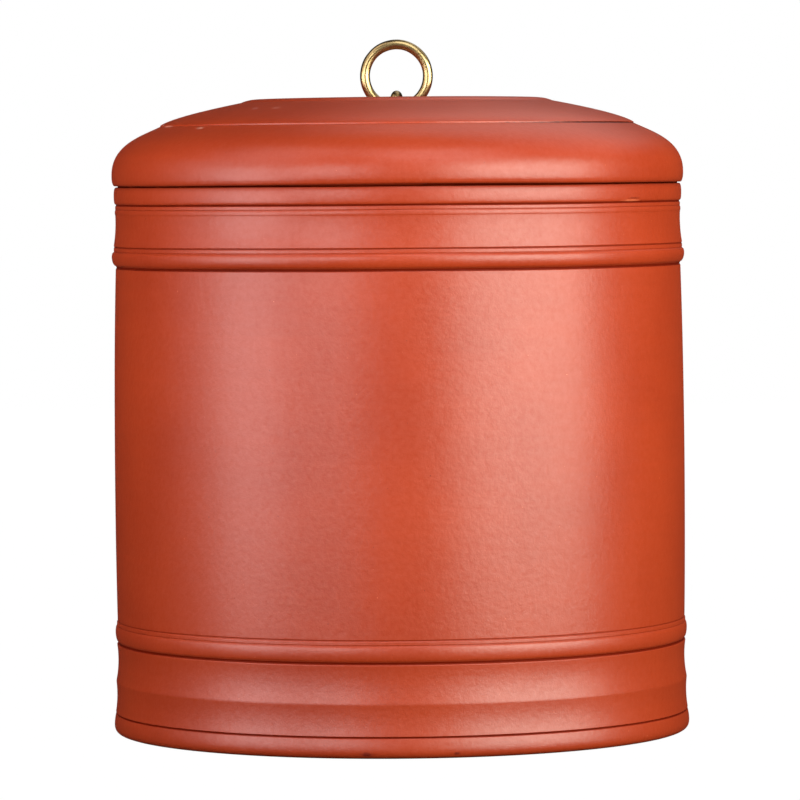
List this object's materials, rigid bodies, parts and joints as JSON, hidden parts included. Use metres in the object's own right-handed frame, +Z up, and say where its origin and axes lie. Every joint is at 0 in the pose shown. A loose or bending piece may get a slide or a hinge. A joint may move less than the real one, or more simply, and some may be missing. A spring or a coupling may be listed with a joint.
{
  "type": "lidded tea jar",
  "caption": "Straight-sided unglazed clay jar with turned mouldings and a loose domed lid, lifted by a brass ring that hangs in a swivelling split pin.",
  "frame": {"origin": "on the ground, on the jar's axis", "axes": "+Z up along the jar's axis, -Y towards the viewer of the picture, +X to the viewer's right and along the ring's hinge"},
  "size_m": [0.242, 0.242, 0.2902],
  "materials": {
    "clay": "unglazed red clay, burnished to a low sheen",
    "brass": "aged brass, worn bright on the ring"
  },
  "bodies": {
    "jar": {"jar_body": "clay"},
    "lid": {"lid": "clay", "pin_rosette": "brass", "pin_washer": "brass"},
    "eye": {"split_pin": "brass"},
    "ring": {"ring_pull": "brass"}
  },
  "joints": [
    {"name": "lid_lift", "type": "slide", "parent": "jar", "child": "lid", "axis": [0, 0, 1], "range_m": [0, 0.15]},
    {"name": "pin_swivel", "type": "hinge", "parent": "lid", "child": "eye", "pos_m": [0, 0, 0.2579], "axis": [0, 0, 1], "continuous": true},
    {"name": "ring_swing", "type": "hinge", "parent": "eye", "child": "ring", "pos_m": [0, 0, 0.26158], "axis": [1, 0, 0], "range_deg": [-98, 98]}
  ]
}
